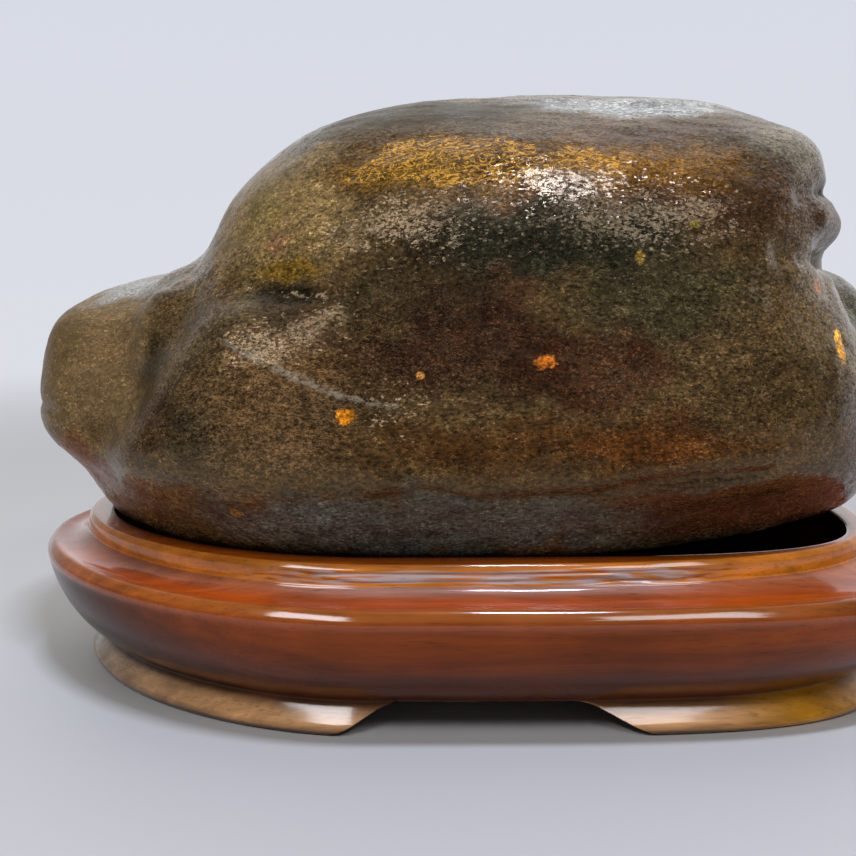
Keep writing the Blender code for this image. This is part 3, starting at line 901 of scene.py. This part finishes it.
@dataclass
class Stand:
    """The hardwood stand: a raised rim round the seat, a coved ledge, an undercut bowl and two arched feet."""

    length: float = 196.0
    depth: float = 116.6
    widest_x: float = -18.6
    left_fullness: float = 1.83
    right_fullness: float = 4.3  # along the widest edge
    radius: float = 100.0  # of the turned blank that is drawn out into the oval
    hub: float = 60.0
    columns: int = 448
    outline_steps: int = 8000
    # The seat's near-black tint is painted shade under the rock.
    seat_edge: Station = Station(24.5, 28.0, 0.0, 1, 4.2, "#1c100a")
    seat_inset: float = 15.2  # the bare wood of the seat begins here
    seat_height: float = 20.0
    arch_x: float = 3.6
    arch_halves: Span = (17.0, 35.5)  # of its flat top, and of where its flared ends run out
    arch_top: float = 5.8
    arch_sink: float = 0.6
    arch_inset: float = 25.5  # how far in the arch is cut
    arch_heights: Point = (0.0, 2.1, 5.9)  # on the bowl's flank, with the inset at each below
    arch_insets: Point = (9.0, 8.6, 11.9)
    tint_pace: float = 1.6  # a station's tint is reached this much sooner than its place
    stations: tuple[Station, ...] = (
        # The seat wall's near-black tint is painted shade under the rock.
        Station(15.5, 33.0, 1.6, 6, 4.2, "#1c100a"),
        Station(14.6, 34.0, -0.25, 4, 4.2, "#6a2c0a"),
        Station(10.7, 34.0, 0.0, 4, 3.3, "#b2540c"),
        Station(10.4, 33.9, -0.03, 2, 3.3, "#c4701e"),
        Station(9.6, 32.95, -0.02, 4, 3.3, "#c4701e"),
        Station(9.4, 30.25, -0.04, 16, 3.3, "#d87c1c"),
        Station(9.1, 29.85, -0.03, 3, 3.3, "#a8603c"),
        Station(2.4, 28.5, 1.1, 12, 4.3, "#b44504"),
        Station(1.45, 28.3, -0.12, 4, 4.3, "#a4561e"),
        Station(0.55, 27.3, -0.03, 4, 4.3, "#a4561e"),
        Station(0.0, 26.0, -0.15, 5, 4.3, "#9c4818"),
        # The bowl's tint darkens toward the waist: painted shade under its overhang.
        Station(11.9, 5.9, -2.5, 24, 4.3, "#50200a"),
        # The foot's sloping top is tinted far paler than the wood round it: in part painted light.
        Station(8.6, 2.1, 0.0, 10, 4.3, "#f2b478"),
        Station(9.0, 0.0, -0.6, 8, 4.3, "#4a200c"),
        Station(22.2, 0.0, 0.0, 3, 4.3, "#2a140c"),
        Station(23.2, 1.0, 0.0, 2, 4.3, "#2a140c"),
        Station(24.7, 7.4, 0.0, 3, 4.3, "#2a140c"),
    )
    hand: tuple[Swell, ...] = (Swell(0.12, 16.0, seed=17.0), Swell(0.04, 4.0, (3.0, 1.0, 1.0), 29.0))
    hand_insets: Span = (0.4, 22.0)
    hand_heights: Span = (0.5, 33.8)
    tier_inset: float = 12.0
    ripple: Swell = Swell(0.36, 0.7, (30.0, 1.0, 1.0), 41.0)  # the gouge's, along the tier's face
    ripple_sink: float = 0.15
    ripple_face: tuple[Span, Span] = ((30.2, 30.7), (32.4, 32.9))
    ripple_reach: Span = (34.0, 52.0)
    ripple_and_sheen_x: float = 4.0  # the middle of the stretch with the gouge's ripples and the painted sheen
    painted_sheen: str = "#c6bcba"  # a painted sheen: pale streaks along the front and back of the rim that stand in for reflected light
    sheen_reach: Span = (26.0, 46.0)
    sheen_face: tuple[Span, Span] = ((30.0, 30.4), (32.8, 33.2))
    sheen_streaks: Swell = Swell(1.0, 0.45, (34.0, 1.0, 1.0), 131.0)
    streak_edge: Span = (-0.28, 0.14)
    face_sheen: float = 0.85
    cove_sheen: float = 0.22
    cove_edge: Span = (28.4, 29.4)
    cove_insets: Span = (3.0, 9.2)
    # Painted shade: the bowl's left end is darkened, most at the left of this span.
    shaded_end: Span = (-88.0, -35.0)
    shaded_end_heights: Span = (5.0, 26.0)
    shaded_end_level: float = 0.12
    # Painted light on the front of the feet: a grey sheen toward the left end and a bright golden patch at the right.
    painted_foot_light: tuple[tuple[float, float, str], ...] = ((-92.0, 26.0, "#9a8876"), (66.0, 12.0, "#dc941c"))
    foot_height: float = 5.7
    foot_edge: float = 0.2
    bowl_face: tuple[Span, Span] = ((4.0, 6.5), (24.5, 26.0))
    bowl_inset: float = 20.0
    bowl_wear: float = 0.85  # how much of the lacquer's gloss is gone there
    finish: LacqueredHardwood = field(default_factory=LacqueredHardwood)
    seat_finish: BareHardwood = field(default_factory=BareHardwood)

    def build(self) -> Object:
        """Carve and lacquer the stand.

        Returns:
            The finished piece.
        """
        section = self.section()
        bm = bmesh.new()
        spots = [bm.verts.new(((self.radius - inset) * MM, 0.0, height * MM)) for inset, height in section[:, :2]]
        for near, far in zip(spots, spots[1:]):
            bm.edges.new((near, far))
        bmesh.ops.spin(
            bm,
            geom=bm.verts[:] + bm.edges[:],
            cent=(0.0, 0.0, 0.0),
            axis=(0.0, 0.0, 1.0),
            angle=2 * math.pi,
            steps=self.columns,
            use_merge=True,
        )
        bmesh.ops.remove_doubles(bm, verts=bm.verts, dist=WELD)
        turned = np.array([v.co for v in bm.verts]) / MM
        insets, heights = self.radius - np.hypot(turned[:, 0], turned[:, 1]), turned[:, 2].copy()
        places = np.stack([insets, heights], axis=1)
        traits = section[np.argmin(((places[:, None, :] - section[None, :, :2]) ** 2).sum(axis=2), axis=1), 2:]
        turns = self.even_turns(np.arctan2(turned[:, 1], turned[:, 0]))
        for vertex, spot in zip(bm.verts, self.drawn_out(turns, insets, heights, traits[:, 0])):
            vertex.co = Vector(spot) * MM
        bare = (insets > self.seat_inset) & (heights > self.seat_height)
        for face in bm.faces:
            face.material_index = int(all(bare[v.index] for v in face.verts))
        bmesh.ops.recalc_face_normals(bm, faces=bm.faces)
        mesh = bpy.data.meshes.new("stand_carving")
        bm.to_mesh(mesh)
        bm.free()
        mesh.shade_smooth()
        spots = np.array([v.co for v in mesh.vertices]) / MM
        add_colours(mesh, "tint", self.worn_and_painted_tints(insets, heights, spots, traits[:, 1:]))
        piece = join_scene("stand_carving", mesh, self.finish.material(), self.seat_finish.material())
        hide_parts("stand")
        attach(piece, "root")
        LOG.info("stand_carving: %d vertices", len(mesh.vertices))
        return piece

    def worn_and_painted_tints(self, insets: Array, heights: Array, spots: Array, tints: Array) -> Array:
        """Streak the rim with a painted sheen, darken the bowl's left end with painted shade, tint the front feet
        with painted light, and vary the lacquer.

        Args:
            insets: How far each vertex lies in from the widest edge.
            heights: How high it stands.
            spots: Its place, in millimetres.
            tints: The wood's colour there.

        Returns:
            The colour at each vertex, with its painted light and shade, and how much lacquer is left.
        """
        x, y, z = spots.T
        # The rim's pale streaks are a painted sheen, laid over the middle of the front and back.
        middle = 1 - smooth_step(self.sheen_reach, np.abs(x - self.ripple_and_sheen_x))
        face = band(self.sheen_face, heights) * (insets < self.tier_inset)
        cove = smooth_step(self.cove_edge, heights) * (1 - face) * inside(self.cove_insets, insets)
        streak = smooth_step(self.streak_edge, self.sheen_streaks.at(spots))
        reworked = drawn_toward(tints, self.painted_sheen, middle * (face * self.face_sheen * streak + cove * self.cove_sheen))
        # Painted shade over the bowl's left end.
        dark = (1 - smooth_step(self.shaded_end, x)) * inside(self.shaded_end_heights, heights)
        reworked *= 1 - (1 - self.shaded_end_level) * dark[:, None]
        # Painted light, on the front of the feet only.
        front_foot = (heights < self.foot_height) * (z > self.foot_edge) * (y < 0.0)
        for middle_x, reach, code in self.painted_foot_light:
            reworked = drawn_toward(reworked, code, front_foot * np.exp(-(((x - middle_x) / reach) ** 2)))
        bowl = band(self.bowl_face, heights) * (insets < self.bowl_inset)
        return np.column_stack((reworked, 1 - self.bowl_wear * bowl))

    def section(self) -> Array:
        """The section from the middle of the seat out over the rim to the underside's middle.

        Returns:
            A row for each point: inset, height, fullness and the tint's red, green and blue.
        """
        edge = self.seat_edge.row()
        rows = [np.concatenate(([inset], edge[1:])) for inset in (self.radius, self.hub)] + [edge]
        for station in self.stations:
            before, after = rows[-1], station.row()
            run = after[:2] - before[:2]
            side = np.array([-run[1], run[0]]) / np.hypot(*run)
            for k in range(1, station.steps + 1):
                share = k / station.steps
                row = before + (after - before) * share
                row[:2] += side * 4 * station.swell * share * (1 - share)
                row[3:] = before[3:] + (after[3:] - before[3:]) * min(1.0, self.tint_pace * share)
                rows.append(row)
        return np.array(rows + [np.concatenate(([inset], rows[-1][1:])) for inset in (self.hub, self.radius)])

    def oval(self, turns: Array, insets: Array, fullness: Array) -> tuple[Array, Array]:
        """Points of the stand's outline.

        Args:
            turns: The turn of each, in radians.
            insets: How far each lies in from the widest edge.
            fullness: How square the right end is at each.

        Returns:
            Their places along and across.
        """
        along, across = np.cos(turns), np.sin(turns)
        right = along > 0
        reach = self.length / 2 + np.where(right, -self.widest_x, self.widest_x) - insets
        power = 2 / np.where(right, fullness, self.left_fullness)
        x = self.widest_x + np.sign(along) * reach * np.abs(along) ** power
        return x, np.sign(across) * (self.depth / 2 - insets) * np.abs(across) ** power

    def even_turns(self, angles: Array) -> Array:
        """Turns that space the blank's columns evenly round the oval."""
        full = 2 * math.pi
        fine = np.linspace(0.0, full, self.outline_steps + 1)
        x, y = self.oval(fine, np.zeros_like(fine), np.full_like(fine, self.right_fullness))
        run = np.concatenate(([0.0], np.cumsum(np.hypot(np.diff(x), np.diff(y)))))
        return np.interp((angles % full) / full * run[-1], run, fine)

    def drawn_out(self, turns: Array, insets: Array, heights: Array, fullness: Array) -> Array:
        """Draw the turned blank out into the oval, and raise its foot into the arches.

        Args:
            turns: The turn of each vertex round the oval.
            insets: How far each lies in from the widest edge.
            heights: How high each stands.
            fullness: How square the right end is at each.

        Returns:
            Where each belongs.
        """
        rim = self.seat_edge.inset
        held = np.minimum(insets, rim)
        x, y = self.oval(turns, held, fullness)
        inner, outer = self.arch_halves
        share = np.clip((outer - np.abs(x - self.arch_x)) / (outer - inner), 0.0, 1.0)
        arch = (self.arch_top + self.arch_sink) * (1 - np.cos(math.pi * share)) / 2 - self.arch_sink
        arch = np.maximum(arch, 0.0)
        low = (heights < arch) & (insets < self.arch_inset)
        held = np.where(low, np.maximum(held, np.interp(arch, self.arch_heights, self.arch_insets)), held)
        heights = np.where(low, arch, heights)
        x, y = self.oval(turns, held, fullness)
        inward = np.where(insets > rim, (self.radius - insets) / (self.radius - rim), 1.0)
        spots = np.stack([self.widest_x + (x - self.widest_x) * inward, y * inward, heights], axis=1)
        shaped = inside(self.hand_insets, insets) & inside(self.hand_heights, heights)
        spots[:, 2] += np.where(shaped, sum(swell.at(spots) for swell in self.hand), 0.0)
        face = band(self.ripple_face, spots[:, 2]) * (insets < self.tier_inset)
        face *= 1 - smooth_step(self.ripple_reach, np.abs(spots[:, 0] - self.ripple_and_sheen_x))
        spots[:, 1] += np.sign(spots[:, 1]) * (self.ripple.at(spots) - self.ripple_sink) * face
        return spots


# --- The room ---
@dataclass(frozen=True)
class Softbox:
    """A rectangular soft light: where it hangs, what it points at, its two sides, power and colour."""

    name: str
    place: Point
    aim: Point
    size: Span
    watts: float
    colour: Point

    def hang(self) -> None:
        """Put the light in the scene."""
        data = bpy.data.lights.new(self.name, "AREA")
        data.shape = "RECTANGLE"
        data.size, data.size_y = (side * MM for side in self.size)
        data.energy = self.watts
        data.color = self.colour
        lamp = bpy.data.objects.new(self.name, data)
        lamp.location = Vector(self.place) * MM
        lamp.rotation_euler = (Vector(self.aim) - Vector(self.place)).to_track_quat("-Z", "Y").to_euler()
        bpy.context.scene.collection.objects.link(lamp)


@dataclass
class Studio:
    """The plain pale floor, the soft lights and the camera."""

    camera_place: Point = (-8.5, -200.6, 87.9)
    camera_tilt: float = 10.4
    camera_roll: float = 0.14
    camera_clip: Span = (10.0, 20000.0)
    sensor: float = 36.0
    lens: float = 36.17
    floor_half: float = 3000.0
    floor_colour: str = "#d2cfca"
    floor_cloud: Pattern = Pattern(250.0)
    floor_shade: Span = (0.97, 1.03)
    floor_roughness: float = 0.6
    floor_fade: Span = (160.0, 700.0)  # where it begins to run into the backdrop, and where it is gone
    backdrop_low: str = "#dcdee6"
    backdrop_high: str = "#d6dae5"
    backdrop_rise: Span = (-0.1, 0.35)
    room_colour: Point = (0.98, 0.98, 1.0)
    wall_from: Span = (-0.25, 0.6)  # from in front of the rock to behind it
    wall_light: Span = (0.09, 0.92)
    side_from: Span = (-0.9, -0.4)  # from its left end inward
    side_light: Span = (0.35, 1.0)
    lamps: tuple[Softbox, ...] = (
        Softbox("left_panel", (-225.0, -350.0, 483.0), (-28.0, -47.0, 4.0), (200.0, 100.0), 0.82, (0.95, 0.98, 1.05)),
        Softbox("right_panel", (242.0, -343.0, 483.0), (35.0, -47.0, 4.0), (200.0, 100.0), 0.55, (0.95, 0.98, 1.05)),
        Softbox("ceiling_lamp", (98.0, -208.0, 666.0), (14.0, -40.0, 104.0), (130.0, 24.0), 2.1, (0.86, 0.96, 1.24)),
    )

    def build(self) -> None:
        """Set the room up."""
        self.floor()
        for lamp in self.lamps:
            lamp.hang()
        self.world()
        self.camera()
        bpy.context.scene.view_settings.view_transform = "Standard"
        LOG.info("studio: floor, lights and camera")

    def floor(self) -> None:
        """Lay the floor, which runs into the pale backdrop without an edge."""
        bm = bmesh.new()
        bmesh.ops.create_grid(bm, x_segments=8, y_segments=8, size=self.floor_half * MM)
        mesh = bpy.data.meshes.new("floor")
        bm.to_mesh(mesh)
        bm.free()
        made, tree, output, place = begin_material("matt pale paint")
        tone = remap(tree, noise_level(tree, place, self.floor_cloud), (0.0, 1.0), self.floor_shade)
        colour = combine(tree, "SCALE", linear(self.floor_colour)[:3], scale=tone)
        inputs = {"Base Color": colour, "Roughness": self.floor_roughness}
        shader = add_node(tree, "BsdfPrincipled", inputs)
        glow = add_node(tree, "Emission", {"Color": linear(self.backdrop_low)})
        near, far = (edge * MM for edge in self.floor_fade)
        away = combine(tree, "LENGTH", place)
        fade = remap(tree, away, (near, far), (0.0, 1.0), interpolation_type="SMOOTHSTEP")
        inputs = {0: fade, 1: shader.outputs["BSDF"], 2: glow.outputs["Emission"]}
        both = add_node(tree, "MixShader", inputs)
        tree.links.new(both.outputs["Shader"], output.inputs["Surface"])
        join_scene("floor", mesh, made)

    def world(self) -> None:
        """Surround the stage with a pale wall: bright behind and above, dimmer in front and at the left."""
        made = bpy.data.worlds.new("studio_room")
        made.use_nodes = True
        tree = made.node_tree
        tree.nodes.clear()
        output = add_node(tree, "OutputWorld")
        way = add_node(tree, "TexCoord").outputs["Generated"]
        parts = add_node(tree, "SeparateXYZ", {"Vector": way})
        rise = remap(tree, parts.outputs["Z"], self.backdrop_rise, (0.0, 1.0))
        seen = blend(tree, rise, linear(self.backdrop_low), linear(self.backdrop_high))
        soft = {"interpolation_type": "SMOOTHSTEP"}
        behind = remap(tree, parts.outputs["Y"], self.wall_from, self.wall_light, **soft)
        aside = remap(tree, parts.outputs["X"], self.side_from, self.side_light, **soft)
        level = work_out(tree, "MULTIPLY", behind, aside)
        room = combine(tree, "SCALE", self.room_colour, scale=level)
        ray = add_node(tree, "LightPath").outputs["Is Camera Ray"]
        shine = add_node(tree, "Background", {"Color": blend(tree, ray, room, seen)})
        tree.links.new(shine.outputs["Background"], output.inputs["Surface"])
        bpy.context.scene.world = made

    def camera(self) -> None:
        """Stand the camera in front of the rock."""
        data = bpy.data.cameras.new("camera")
        data.sensor_width = self.sensor
        data.lens = self.lens
        data.clip_start, data.clip_end = (reach * MM for reach in self.camera_clip)
        lens = bpy.data.objects.new("camera", data)
        lens.location = Vector(self.camera_place) * MM
        lens.rotation_euler = (math.radians(90 - self.camera_tilt), math.radians(self.camera_roll), 0.0)
        bpy.context.scene.collection.objects.link(lens)
        bpy.context.scene.camera = lens


def main() -> None:
    """Build the rock, the stand and the room."""
    logging.basicConfig(level=logging.INFO, format="%(message)s")
    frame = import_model()
    Studio().build()
    Rock().build(frame["nodes"]["rock"])
    Stand().build()


if __name__ == "__main__":
    main()
